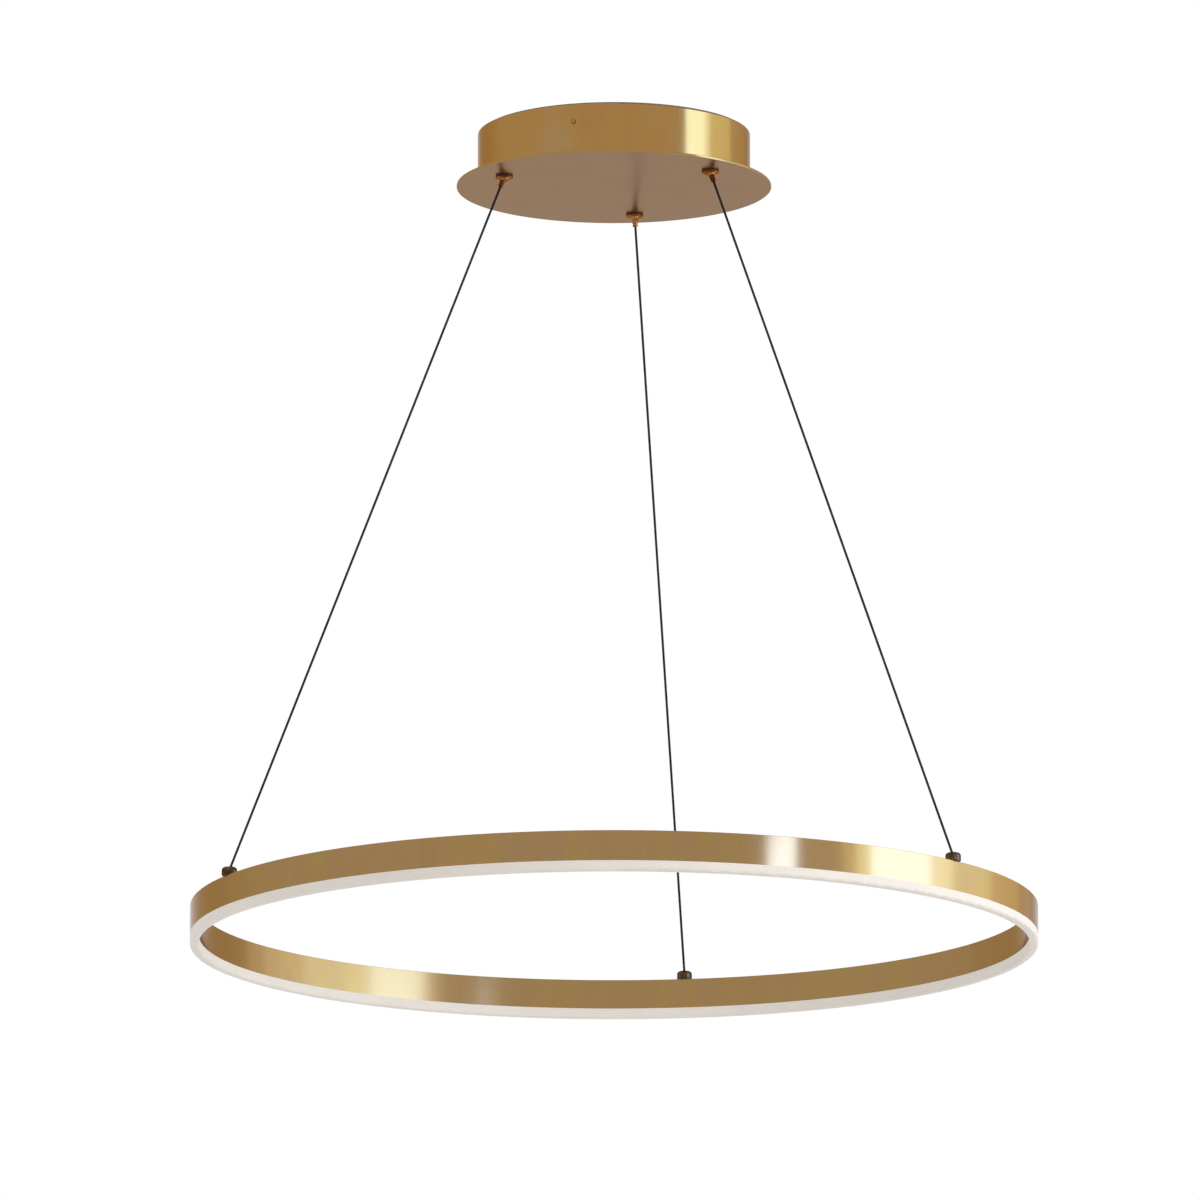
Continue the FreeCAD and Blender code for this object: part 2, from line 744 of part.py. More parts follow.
def tail_levels():
    """Where a tail starts above its swivel and where it runs level, from the sizes."""
    size = SIZES
    pivot = -(size["ceiling_gap"] + size["drum_height"] + size["plate_thickness"]
              + size["collar_washer_thickness"] + size["collar_thickness"]) + size["swivel_depth"]
    start = pivot + size["swivel_diameter"] / 2 + size["tail_gap"]
    return start, start + size["tail_rise"]


def cable_tails():
    start, level = tail_levels()
    reach = SIZES["drum_diameter"] / 2 - SIZES["gripper_inset"]
    solids = []
    for name in ANCHOR_ANGLES:
        angle = SIZES[name]
        route = [point(reach, angle, start), point(reach, angle, level - SIZES["tail_corner"]),
                 point(reach - SIZES["tail_corner"], angle, level),
                 point(reach - SIZES["tail_run"], angle, level)]
        solids.append(tube(route, SIZES["cable_diameter"]))
    return shaped("cable_tails", solids)


def tail_crimps():
    level = tail_levels()[1]
    inner = SIZES["drum_diameter"] / 2 - SIZES["gripper_inset"] - SIZES["tail_run"] - SIZES["crimp_lap"]
    bore_radius = max(SIZES["lead_diameter"], SIZES["cable_diameter"]) / 2 + SIZES["crimp_play"]
    solids = []
    for name in ANCHOR_ANGLES:
        base = point(inner, SIZES[name], level)
        outward = point(1, SIZES[name], 0)
        blank = Part.makeCylinder(bore_radius + SIZES["crimp_wall"], 2 * SIZES["crimp_lap"], base, outward)
        bore = Part.makeCylinder(bore_radius, 2 * SIZES["crimp_lap"], base, outward)
        solids.append(blank.cut(bore))
    return shaped("tail_crimps", solids)


def lead_height():
    return -SIZES["ceiling_gap"] - SIZES["drum_height"] + SIZES["lead_level"]


def output_leads():
    """From the crimps of cables 2 and 3 round to the driver's output end."""
    level = tail_levels()[1]
    low = lead_height()
    inner = SIZES["drum_diameter"] / 2 - SIZES["gripper_inset"] - SIZES["tail_run"]
    end_x = -SIZES["driver_length"] / 2 - SIZES["cover_length"]
    spread = SIZES["lead_pitch"] / 2
    driver_y = SIZES["driver_y"]
    vector = FreeCAD.Vector
    second = [point(inner, SIZES["anchor_angle_2"], level),
              point(inner - SIZES["output_exit_2"], SIZES["anchor_angle_2"], level),
              vector(-68, -14, level - 3), vector(-74, 4, low + 3), vector(-86, 20, low),
              vector(-90, 38, low), vector(-79, driver_y + spread, low),
              vector(end_x, driver_y + spread, low)]
    third = [point(inner, SIZES["anchor_angle_3"], level),
             point(inner - SIZES["output_exit_3"], SIZES["anchor_angle_3"], level),
             vector(36, -52, level - 4), vector(8, -62, low + 2), vector(-20, -58, low),
             vector(-44, -42, low), vector(-56, -18, low), vector(-64, 4, low), vector(-74, 18, low),
             vector(-82, 29, low), vector(-80, 38, low), vector(-72.5, driver_y - spread, low),
             vector(end_x, driver_y - spread, low)]
    diameter = SIZES["lead_diameter"]
    return shaped("output_leads", [tube(second, diameter), tube(third, diameter)])


def supply_leads():
    """Live and neutral from the terminal block to the driver's input end."""
    low = lead_height()
    start_x = SIZES["block_x"] + SIZES["block_width"] / 2
    start_y = SIZES["block_y"]
    end_x = SIZES["driver_length"] / 2 + SIZES["cover_length"]
    driver_y = SIZES["driver_y"]
    spread = SIZES["lead_pitch"] / 2
    block_low = low - SIZES["lead_level"] + SIZES["block_height"] / 2
    vector = FreeCAD.Vector
    pitch = SIZES["block_pitch"]
    live = [vector(start_x, start_y + pitch, block_low),
            vector(start_x + SIZES["supply_exit_live"], start_y + pitch, block_low),
            vector(79, 14, low), vector(84, 28, low), vector(79, driver_y - spread, low),
            vector(end_x, driver_y - spread, low)]
    neutral = [vector(start_x, start_y, block_low),
               vector(start_x + SIZES["supply_exit_neutral"], start_y, block_low),
               vector(84, 2, low), vector(92, 20, low), vector(94, 38, low),
               vector(84, driver_y + spread, low), vector(end_x, driver_y + spread, low)]
    diameter = SIZES["lead_diameter"]
    return shaped("supply_leads", [tube(live, diameter), tube(neutral, diameter)])


def earth_lead():
    """From the terminal block's earth pole to the lug on the plate's stud."""
    size = SIZES
    plate = -size["ceiling_gap"] - size["drum_height"]
    start = FreeCAD.Vector(size["block_x"] - size["block_width"] / 2, size["block_y"] - size["block_pitch"],
                           plate + size["block_height"] / 2)
    end = point(size["earth_circle"] / 2, size["earth_angle"],
                plate + size["lead_diameter"] / 2 + size["crimp_wall"])
    end += point(size["lug_tongue"], size["lug_angle"], 0)
    ahead = point(1, size["lug_angle"], 0)
    route = [start, start - FreeCAD.Vector(size["earth_exit"], 0, 0), end + ahead * size["earth_entry"], end]
    return shaped("earth_lead", [tube(route, size["lead_diameter"])])


# Ring


def ring_channel():
    lower = "-channel_height"
    outline = [
        (RING_INNER, "0"),
        (RING_OUTER, "0"),
        (RING_OUTER, lower),
        (f"{RING_OUTER} - channel_wall", lower),
        (f"{RING_OUTER} - channel_wall", "-channel_web"),
        (f"{RING_INNER} + channel_wall", "-channel_web"),
        (f"{RING_INNER} + channel_wall", lower),
        (RING_INNER, lower),
    ]
    body = revolved("channel_body", outline)
    outer = SIZES["ring_diameter"] / 2
    rounded(body, "channel_edge", (outer, 0), (outer - SIZES["ring_width"], 0))
    holes = []
    for angle in ANCHOR_ANGLES:
        hole = cylinder("anchor_hole", "anchor_bush_diameter / 2 + anchor_play",
                        f"channel_web + {2 * OVERCUT}")
        place_around(hole, ANCHOR_RADIUS, angle, f"-channel_web - {OVERCUT}")
        holes.append(hole)
    item = cut("channel_solid", body, *holes)
    place(item, z=RING_TOP)
    return keep(item, "ring_channel")


def diffuser():
    seam = "-channel_height"
    lower = "(-channel_height - diffuser_drop)"
    floor = f"({lower} + diffuser_floor)"
    tip = "(-channel_height + diffuser_tongue)"
    outer_tongue = f"({RING_OUTER} - channel_wall - diffuser_play)"
    inner_tongue = f"({RING_INNER} + channel_wall + diffuser_play)"
    outline = [
        (RING_INNER, lower),
        (RING_OUTER, lower),
        (RING_OUTER, seam),
        (outer_tongue, seam),
        (outer_tongue, tip),
        (f"{outer_tongue} - diffuser_wall", tip),
        (f"{outer_tongue} - diffuser_wall", floor),
        (f"{inner_tongue} + diffuser_wall", floor),
        (f"{inner_tongue} + diffuser_wall", tip),
        (inner_tongue, tip),
        (inner_tongue, seam),
        (RING_INNER, seam),
    ]
    body = revolved("diffuser_body", outline)
    outer = SIZES["ring_diameter"] / 2
    bottom = -SIZES["channel_height"] - SIZES["diffuser_drop"]
    rounded(body, "diffuser_edge", (outer, bottom), (outer - SIZES["ring_width"], bottom))
    place(body, z=RING_TOP)
    return keep(body, "diffuser")


def led_strips():
    """Three lengths of strip under the web, each ending short of the anchors."""
    level = "-(channel_web + strip_thickness)"
    outer = cylinder("strip_outer", f"{ANCHOR_RADIUS} + strip_width / 2", "strip_thickness", z=level)
    inner = cylinder("strip_inner", f"{ANCHOR_RADIUS} - strip_width / 2", "strip_thickness", z=level)
    band = cut("strip_band", outer, inner)
    gaps = []
    for angle in ANCHOR_ANGLES:
        gap = add("Part::Box", "strip_gap", Length="2 * strip_width", Width="2 * strip_setback",
                  Height=f"strip_thickness + {2 * OVERCUT}")
        reach = f"({ANCHOR_RADIUS} - strip_width)"
        place(gap, f"{reach} * cos({angle}) + strip_setback * sin({angle})",
              f"{reach} * sin({angle}) - strip_setback * cos({angle})", f"{level} - {OVERCUT}", angle)
        gaps.append(gap)
    item = cut("strip_solid", band, *gaps)
    place(item, z=RING_TOP)
    return keep(item, "led_strips")


def led_chips():
    """Rows of chips on the strips, evenly spaced between two anchors."""
    size = SIZES
    radius = (size["ring_diameter"] - size["ring_width"]) / 2
    top = -(size["ceiling_gap"] + size["drum_height"] + size["plate_thickness"] + size["suspension_drop"]
            + size["channel_web"] + size["strip_thickness"])
    setback = math.degrees(math.asin(size["strip_setback"] / radius))
    starts = [size[name] for name in ANCHOR_ANGLES]
    solids = []
    for start, end in zip(starts, starts[1:] + [starts[0] + 360]):
        span = (end - start) - 2 * setback
        for count in range(size["chip_count"]):
            angle = start + setback + span * (count + 0.5) / size["chip_count"]
            chip = Part.makeBox(size["chip_width"], size["chip_length"], size["chip_height"])
            chip.translate(FreeCAD.Vector(radius - size["chip_width"] / 2, -size["chip_length"] / 2,
                                          top - size["chip_height"]))
            chip.rotate(FreeCAD.Vector(), FreeCAD.Vector(0, 0, 1), angle)
            solids.append(chip)
    return shaped("led_chips", solids)


def cable_caps():
    outline = [
        ("0", "0"),
        ("cap_diameter / 2", "0"),
        ("cap_diameter / 2", "cap_height"),
        ("0", "cap_height"),
    ]
    body = revolved("cap_body", outline)
    rounded(body, "cap_edge", (SIZES["cap_diameter"] / 2, SIZES["cap_height"]))
    bore = cylinder("cap_bore", "anchor_screw_diameter / 2 + anchor_play", "ball_height")
    seat = add("Part::Sphere", "ball_seat", Radius="ball_diameter / 2 + ball_play")
    place(seat, z="ball_height")
    mouth = add("Part::Cone", "cap_mouth", Radius1="sqrt((ball_diameter / 2 + ball_play)^2 - ball_lip^2)",
                Radius2="cap_mouth / 2", Height="cap_height - ball_height - ball_lip")
    place(mouth, z="ball_height + ball_lip")
    master = cut("cap_master", body, bore, seat, mouth)
    return grouped("cable_caps", master, at_anchors(ANCHOR_RADIUS, CAP_BOTTOM))


def cap_washers():
    master = ring_piece("cap_washer", "cap_washer_diameter / 2", "anchor_screw_diameter / 2 + anchor_play",
                        "cap_washer_thickness")
    return grouped("cap_washers", master, at_anchors(ANCHOR_RADIUS, RING_TOP))


def anchor_bushes():
    bore = "anchor_screw_diameter / 2 + anchor_play"
    outline = [
        (bore, "0"),
        ("anchor_bush_diameter / 2", "0"),
        ("anchor_bush_diameter / 2", "-channel_web"),
        ("anchor_bush_flange / 2", "-channel_web"),
        ("anchor_bush_flange / 2", "-channel_web - anchor_bush_rim"),
        (bore, "-channel_web - anchor_bush_rim"),
    ]
    master = revolved("anchor_bush_body", outline)
    return grouped("anchor_bushes", master, at_anchors(ANCHOR_RADIUS, RING_TOP))


def feed_lugs():
    master = ring_piece("feed_lug", "anchor_head_diameter / 2", "anchor_screw_diameter / 2 + anchor_play",
                        "feed_lug_thickness")
    return grouped("feed_lugs", master, at_anchors(ANCHOR_RADIUS, f"{RING_TOP} + {HEAD_TOP}"))


def anchor_screws():
    shank = cylinder("anchor_shank", "anchor_screw_diameter / 2",
                     f"anchor_thread + cap_washer_thickness - {HEAD_TOP}", z=HEAD_TOP)
    head = cylinder("anchor_head", "anchor_head_diameter / 2", "anchor_head_height",
                    z=f"{HEAD_TOP} - anchor_head_height")
    return grouped("anchor_screws", fuse("anchor_master", shank, head), at_anchors(ANCHOR_RADIUS, RING_TOP))


def feed_leads():
    """A short lead from each feed lug along the channel to just under the end of the next strip."""
    leads = []
    for angle in ANCHOR_ANGLES:
        start = "(anchor_head_diameter / 2 + feed_wire_diameter / 8)"
        lead = add("Part::Cylinder", "feed_lead", Radius="feed_wire_diameter / 2",
                   Height="strip_setback - anchor_head_diameter / 2 + feed_lap")
        bind(lead, "Placement", f"placement(vector({ANCHOR_RADIUS} * cos({angle}) - {start} * sin({angle}); "
             f"{ANCHOR_RADIUS} * sin({angle}) + {start} * cos({angle}); "
             f"{RING_TOP} - channel_web - strip_thickness - feed_wire_diameter / 2); "
             f"rotation({angle} + 90; 90; 0))")
        leads.append(lead)
    return together("feed_leads", leads)


# The whole chandelier


def build():
    mounting_plate()
    cable_grommet()
    canopy_drum()
    side_screws()
    canopy_plate()
    drum_brackets()
    bracket_nuts()
    driver_housing()
    driver_covers()
    driver_nuts()
    terminal_block()
    clamp_screws()
    earth_lug()
    earth_nut()
    gripper_collars()
    gripper_washers()
    gripper_bushes()
    gripper_locknuts()
    for number, angle in enumerate(ANCHOR_ANGLES, start=1):
        gripper_swivel(number, angle)
        release_sleeve(number, angle)
        release_spring(number, angle)
        suspension_cable(number, angle)
        ball_end(number, angle)
    cable_tails()
    tail_crimps()
    output_leads()
    supply_leads()
    earth_lead()
    ring_channel()
    diffuser()
    led_strips()
    led_chips()
    cable_caps()
    cap_washers()
    anchor_bushes()
    feed_lugs()
    anchor_screws()
    feed_leads()


def check():
    for item in doc.Objects:
        if "Invalid" in item.State or "Error" in item.State:
            raise RuntimeError(f"{item.Label} failed: {item.State}")
    for item in PIECES:
        if item.Shape.isNull() or not item.Shape.isValid() or not item.Shape.Solids:
            raise RuntimeError(f"{item.Label} has no valid solid")


doc = FreeCAD.newDocument("ring_chandelier")
make_sheet()
build()
doc.recompute()
check()
os.makedirs("parts", exist_ok=True)
for piece in PIECES:
    piece.Shape.exportStep(f"parts/{piece.Label}.step")
    print(f"{piece.Label}: {len(piece.Shape.Solids)} solid(s), {piece.Shape.Volume:.1f} mm3")
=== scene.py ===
"""Looks of the LED ring chandelier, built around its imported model.

Metres, +Z up, -Y towards the viewer. The origin is the centre of the mounting plate's top face.
"""
import json
import math

import bpy
from mathutils import Matrix, Vector


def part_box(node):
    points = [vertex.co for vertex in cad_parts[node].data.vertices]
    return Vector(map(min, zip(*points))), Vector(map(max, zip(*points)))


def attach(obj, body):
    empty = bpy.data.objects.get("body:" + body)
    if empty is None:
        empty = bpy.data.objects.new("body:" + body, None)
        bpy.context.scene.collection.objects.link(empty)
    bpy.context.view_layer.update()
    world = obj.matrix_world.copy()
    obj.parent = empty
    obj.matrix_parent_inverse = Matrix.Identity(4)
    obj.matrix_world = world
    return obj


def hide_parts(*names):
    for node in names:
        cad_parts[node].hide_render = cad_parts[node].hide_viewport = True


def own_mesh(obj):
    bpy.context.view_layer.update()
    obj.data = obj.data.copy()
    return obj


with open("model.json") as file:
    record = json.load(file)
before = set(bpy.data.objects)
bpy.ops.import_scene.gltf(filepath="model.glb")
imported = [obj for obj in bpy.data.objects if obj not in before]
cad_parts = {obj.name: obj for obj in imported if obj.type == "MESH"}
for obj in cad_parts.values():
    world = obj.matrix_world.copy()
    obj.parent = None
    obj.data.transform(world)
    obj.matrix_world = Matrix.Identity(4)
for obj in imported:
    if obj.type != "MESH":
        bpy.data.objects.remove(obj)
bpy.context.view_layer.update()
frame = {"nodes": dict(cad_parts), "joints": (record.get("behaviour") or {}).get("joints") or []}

MM = 0.001
MICRON = 0.000001
NODES = frame["nodes"]
JOINTS = {joint["name"]: joint for joint in frame["joints"]}
CABLES = (1, 2, 3)


# Helpers

def numbered(stem):
    return [f"{stem}_{number}" for number in CABLES]


def add_object(name, data):
    item = bpy.data.objects.new(name, data)
    bpy.context.scene.collection.objects.link(item)
    return item


def add_node(tree, kind, inputs=None, **settings):
    node = tree.nodes.new(kind)
    for name, value in settings.items():
        setattr(node, name, value)
    for name, value in (inputs or {}).items():
        if isinstance(value, bpy.types.NodeSocket):
            tree.links.new(value, node.inputs[name])
        else:
            node.inputs[name].default_value = value
    return node


def new_material(name, **values):
    """A principled material; values are its constant sockets, with _ for a space."""
    material = bpy.data.materials.new(name)
    material.use_nodes = True
    tree = material.node_tree
    shader = tree.nodes["Principled BSDF"]
    for socket, value in values.items():
        shader.inputs[socket.replace("_", " ")].default_value = value
    return material, tree, shader


# Camera, light and surroundings

CAMERA_PLACE = (-0.0133, -13.0, -3.112)
CAMERA_PITCH = math.radians(11.552)
CAMERA_LENS = 420
CAMERA_SENSOR = 36
CAMERA_RANGE = 100

# Watts per square metre with which a lamp's face is as bright as the surroundings.
PANEL_POWER = 4
KEY_PLACE = Vector((2.5, -1.5, -0.3))
KEY_TARGET = Vector((0, 0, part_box("ring_channel")[1].z))
KEY_SIZE = 1.5
KEY_POWER = 30
SOFT_WHITE = 0.86
FLOOR_LEVEL = -2.6
FLOOR_RADIUS = 3.0
FLOOR_SIDES = 96

# A window and the walls beside it stand to the right, in the ring's reflections below and the drum's above.
BOX = (-0.75, -0.48)
LOW = (-0.72, -0.513)
MIDDLE = (-0.513, -0.30)
BOTH = (-0.72, -0.30)
HIGH = (0.1, 0.6)
FRAME_END = (1.417, 0.04)


def make_camera():
    data = bpy.data.cameras.new("camera")
    data.lens = CAMERA_LENS
    data.sensor_width = CAMERA_SENSOR
    data.clip_end = CAMERA_RANGE
    camera = add_object("camera", data)
    camera.location = CAMERA_PLACE
    camera.rotation_euler = (math.pi / 2 + CAMERA_PITCH, 0, 0)
    bpy.context.scene.camera = camera


def panel(name, level, heights, start, end):
    """An upright lamp over the line start..end of the plan, seen only in reflections.

    Its face adds level times the white of the surroundings, as red, green and blue.
    """
    low, high = heights
    width = math.dist(start, end)
    data = bpy.data.lights.new(name, "AREA")
    data.shape = "RECTANGLE"
    data.size = width
    data.size_y = high - low
    data.energy = PANEL_POWER * width * (high - low)
    data.color = level
    lamp = add_object(name, data)
    across = Vector((end[0] - start[0], end[1] - start[1], 0)) / width
    up = Vector((0, 0, 1))
    centre = Vector(((start[0] + end[0]) / 2, (start[1] + end[1]) / 2, (low + high) / 2))
    turned = Matrix((across, up, across.cross(up))).transposed()
    lamp.matrix_world = Matrix.Translation(centre) @ turned.to_4x4()
    lamp.visible_diffuse = False


def wall(heights, corners, lamps):
    """One lamp, as name and level, over each stretch between two corners of the plan."""
    for (name, level), start, end in zip(lamps, corners, corners[1:]):
        panel(name, level, heights, start, end)


def make_lamps():
    panel("box_lamp", (2.1, 3.8, 9.0), BOX, (1.107, -1.463), (0.990, -1.052))
    wall(LOW, [(1.0, -0.95), (1.14, -0.79), (1.2, -0.715), (1.25, -0.625), (1.377, -0.17), FRAME_END],
         [("near_wall_low", (0.12, 0.15, 0.15)),
          ("curtain_low", (0.5, 0.55, 0.6)),
          ("curtain_fold_low", (1.1, 1.5, 1.8)),
          ("window_low", (2.1, 3.6, 7.2)),
          ("frame_low", (1.45, 2.3, 3.2))])
    wall(MIDDLE, [(1.18, -0.75), (1.24, -0.66), (1.372, -0.19), FRAME_END],
         [("curtain_middle", (0.3, 0.35, 0.4)),
          ("window_middle", (1.55, 2.65, 4.4)),
          ("frame_middle", (1.0, 1.4, 1.8))])
    wall(BOTH, [FRAME_END, (1.40, 0.50), (1.17, 0.93), (0.95, 1.10)],
         [("corner", (0.92, 1.35, 1.75)),
          ("far_wall", (0.62, 0.82, 1.05)),
          ("back_wall", (0.3, 0.38, 0.5))])
    wall(HIGH, [(1.215, -0.69), (1.357, -0.24), (1.395, -0.12), (1.38, 0.56), (0.9, 1.15)],
         [("window_high", (1.5, 3.0, 5.9)),
          ("frame_high", (1.0, 1.9, 3.2)),
          ("corner_high", (0.5, 0.83, 0.9)),
          ("far_wall_high", (0.12, 0.22, 0.5))])


def make_key():
    """A large soft lamp from the right, for the matt surfaces alone."""
    data = bpy.data.lights.new("key", "AREA")
    data.size = KEY_SIZE
    data.energy = KEY_POWER
    lamp = add_object("key", data)
    lamp.location = KEY_PLACE
    lamp.rotation_euler = (KEY_TARGET - KEY_PLACE).to_track_quat("-Z", "Y").to_euler()
    lamp.visible_glossy = False


def make_world():
    """White to the camera and in reflections, a little softer as light."""
    world = bpy.data.worlds.new("studio")
    bpy.context.scene.world = world
    world.use_nodes = True
    tree = world.node_tree
    path = tree.nodes.new("ShaderNodeLightPath")
    seen = path.outputs["Is Camera Ray"]
    for kind in ("Is Glossy Ray", "Is Transmission Ray"):
        either = add_node(tree, "ShaderNodeMath", {0: seen, 1: path.outputs[kind]}, operation="MAXIMUM")
        seen = either.outputs[0]
    level = add_node(tree, "ShaderNodeMapRange", {"Value": seen, "To Min": SOFT_WHITE, "To Max": 1.0})
    background = tree.nodes["Background"]
    background.inputs["Color"].default_value = (1, 1, 1, 1)
    tree.links.new(level.outputs[0], background.inputs["Strength"])


def make_floor():
    """A pale disc on the room's floor, clear when looked at from underneath."""
    mesh = bpy.data.meshes.new("floor")
    turns = [2 * math.pi * side / FLOOR_SIDES for side in range(FLOOR_SIDES)]
    rim = [(FLOOR_RADIUS * math.cos(turn), FLOOR_RADIUS * math.sin(turn), FLOOR_LEVEL) for turn in turns]
    mesh.from_pydata(rim, [], [tuple(range(FLOOR_SIDES))])
    floor = add_object("floor", mesh)
    material, tree, shader = new_material("floor_white", Base_Color=(0.9, 0.9, 0.9, 1), Roughness=0.9)
    clear = tree.nodes.new("ShaderNodeBsdfTransparent")
    side = tree.nodes.new("ShaderNodeNewGeometry")
    mix = add_node(tree, "ShaderNodeMixShader", {0: side.outputs["Backfacing"], 1: shader.outputs[0],
                                                 2: clear.outputs[0]})
    tree.links.new(mix.outputs[0], tree.nodes["Material Output"].inputs["Surface"])
    mesh.materials.append(material)


# Materials

# Nearly all values of a noise texture lie between these two.
NOISE_LOW = 0.3
NOISE_HIGH = 0.7
RING_WIDTH = 8.5 * MM
# Where the plate's surface faces down, which gets the painted reflection and the duller finish: its normal's
# z from flat to the start of the rounded edge.
PLATE_UNDER = (-0.95, -0.8)


def noise(tree, scale, detail=3.0, roughness=0.5):
    """Noise over the object's own x, y and z, with a scale for each, in features per metre."""
    place = tree.nodes.new("ShaderNodeTexCoord")
    mapped = add_node(tree, "ShaderNodeMapping", {"Vector": place.outputs["Object"], "Scale": scale})
    made = add_node(tree, "ShaderNodeTexNoise", {"Vector": mapped.outputs[0], "Scale": 1.0, "Detail": detail,
                                                 "Roughness": roughness})
    return made.outputs["Fac"]


def spread(tree, value, low, high, start=NOISE_LOW, end=NOISE_HIGH):
    """The value moved from start..end to low..high."""
    return add_node(tree, "ShaderNodeMapRange", {"Value": value, "From Min": start, "From Max": end,
                                                 "To Min": low, "To Max": high}).outputs[0]


def tones(tree, value, colours):
    """Colours spaced evenly over the range of a noise."""
    ramp = tree.nodes.new("ShaderNodeValToRGB")
    tree.links.new(value, ramp.inputs[0])
    stops = ramp.color_ramp.elements
    while len(stops) < len(colours):
        stops.new(0.5)
    for index, colour in enumerate(colours):
        stops[index].position = NOISE_LOW + (NOISE_HIGH - NOISE_LOW) * index / (len(colours) - 1)
        stops[index].color = (*colour, 1)
    return ramp.outputs["Color"]


def shaded(tree, colour, value, change):
    """The colour made darker or lighter by a noise, up to the share change."""
    level = spread(tree, value, 1 - change, 1 + change)
    scaled = add_node(tree, "ShaderNodeVectorMath", {0: colour, "Scale": level}, operation="SCALE")
    return scaled.outputs[0]


def roughen(tree, shader, value, roughness, change=0.15):
    """The roughness made lower or higher by a noise, up to the share change."""
    tree.links.new(spread(tree, value, roughness * (1 - change), roughness * (1 + change)),
                   shader.inputs["Roughness"])


def raised(tree, shader, height, depth):
    """A surface with bumps of this depth."""
    bump = add_node(tree, "ShaderNodeBump", {"Height": height, "Distance": depth, "Strength": 1.0})
    tree.links.new(bump.outputs["Normal"], shader.inputs["Normal"])


def brushed(tree, shader, colours, roughness, brushing, patches, grain, depth):
    """Colour and roughness of patches with brush marks, which run along the small entry of brushing."""
    marks = noise(tree, brushing, 4.0, 0.6)
    raised(tree, shader, marks, depth)
    colour = shaded(tree, tones(tree, noise(tree, patches), colours), marks, grain)
    return colour, spread(tree, marks, *roughness)


def ring_metal():
    """The ring's brass, whose inner wall is a little duller than its outer one."""
    material, tree, shader = new_material("ring_brass", Metallic=1.0, Specular_Tint=(0.63, 0.51, 0.42, 1))
    colour, dull = brushed(tree, shader, [(0.304, 0.186, 0.073), (0.319, 0.190, 0.078), (0.314, 0.192, 0.079),
                                          (0.321, 0.203, 0.073), (0.303, 0.188, 0.086)],
                           roughness=(0.12, 0.15), brushing=(1100, 1100, 25), patches=(16, 16, 7),
                           grain=0.03, depth=MICRON)
    tree.links.new(colour, shader.inputs["Base Color"])
    place = tree.nodes.new("ShaderNodeTexCoord")
    flat = add_node(tree, "ShaderNodeVectorMath", {0: place.outputs["Object"], 1: (1, 1, 0)},
                    operation="MULTIPLY")
    reach = add_node(tree, "ShaderNodeVectorMath", {0: flat.outputs[0]}, operation="LENGTH").outputs["Value"]
    low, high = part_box("ring_channel")
    middle = (high.x - low.x - RING_WIDTH) / 2
    duller = spread(tree, reach, 1.15, 1.0, middle - RING_WIDTH / 4, middle + RING_WIDTH / 4)
    rough = add_node(tree, "ShaderNodeMath", {0: dull, 1: duller}, operation="MULTIPLY")
    tree.links.new(rough.outputs[0], shader.inputs["Roughness"])
    return material


def drum_metal():
    """The drum's brass, a little redder than the ring's."""
    material, tree, shader = new_material("drum_brass", Metallic=1.0, Specular_Tint=(0.61, 0.50, 0.42, 1))
    colour, dull = brushed(tree, shader, [(0.340, 0.176, 0.052), (0.352, 0.186, 0.058), (0.356, 0.190, 0.056),
                                          (0.345, 0.198, 0.070), (0.332, 0.212, 0.085)],
                           roughness=(0.13, 0.17), brushing=(1100, 1100, 20), patches=(20, 20, 9),
                           grain=0.03, depth=MICRON)
    tree.links.new(colour, shader.inputs["Base Color"])
    tree.links.new(dull, shader.inputs["Roughness"])
    return material


def plate_metal():
    """The plate's brass: its underside is duller than its edge and top, and pinker by a painted reflection of
    the room below.
    """
    material, tree, shader = new_material("plate_brass", Metallic=1.0, Specular_Tint=(0.61, 0.54, 0.48, 1))
    side = tree.nodes.new("ShaderNodeTexCoord")
    facing = add_node(tree, "ShaderNodeSeparateXYZ", {0: side.outputs["Normal"]})
    under = spread(tree, facing.outputs["Z"], 1.0, 0.0, *PLATE_UNDER)
    edge, dull = brushed(tree, shader, [(0.35, 0.19, 0.06), (0.34, 0.2, 0.07)],
                         roughness=(0.14, 0.18), brushing=(60, 60, 60), patches=(20, 20, 20),
                         grain=0.02, depth=0.5 * MICRON)
    # Painted reflection: where the surface faces down it gets pinker tones than the edge and top.
    painted_reflection = tones(tree, noise(tree, (22, 22, 22)), [(0.315, 0.200, 0.120), (0.330, 0.207, 0.123),
                                                   (0.338, 0.206, 0.128), (0.326, 0.214, 0.118)])
    colour = add_node(tree, "ShaderNodeMix", {"Factor": under, "A": edge, "B": painted_reflection}, data_type="RGBA")
    tree.links.new(colour.outputs[2], shader.inputs["Base Color"])
    rough = add_node(tree, "ShaderNodeMapRange", {"Value": under, "To Min": dull, "To Max": 0.27})
    tree.links.new(rough.outputs[0], shader.inputs["Roughness"])
    return material


def polished(name, colours, edge, roughness):
    """Turned and polished metal with faint clouds; edge is its tint where it is looked at edge on."""
    material, tree, shader = new_material(name, Metallic=1.0, Specular_Tint=(*edge, 1))
    clouds = noise(tree, (150, 150, 150))
    tree.links.new(tones(tree, clouds, colours), shader.inputs["Base Color"])
    roughen(tree, shader, clouds, roughness)
    return material


def plain(name, colour, roughness, scale=400, metallic=0.0, depth=20 * MICRON):
    """Moulded, cast or plated surface with a fine even texture."""
    material, tree, shader = new_material(name, Metallic=metallic)
    dots = noise(tree, (scale, scale, scale), 4.0)
    clouds = noise(tree, (scale / 12, scale / 12, scale / 12))
    base = tones(tree, clouds, [[part * 0.93 for part in colour], colour])
    tree.links.new(shaded(tree, base, dots, 0.05), shader.inputs["Base Color"])
    roughen(tree, shader, dots, roughness)
    raised(tree, shader, dots, depth)
    return material


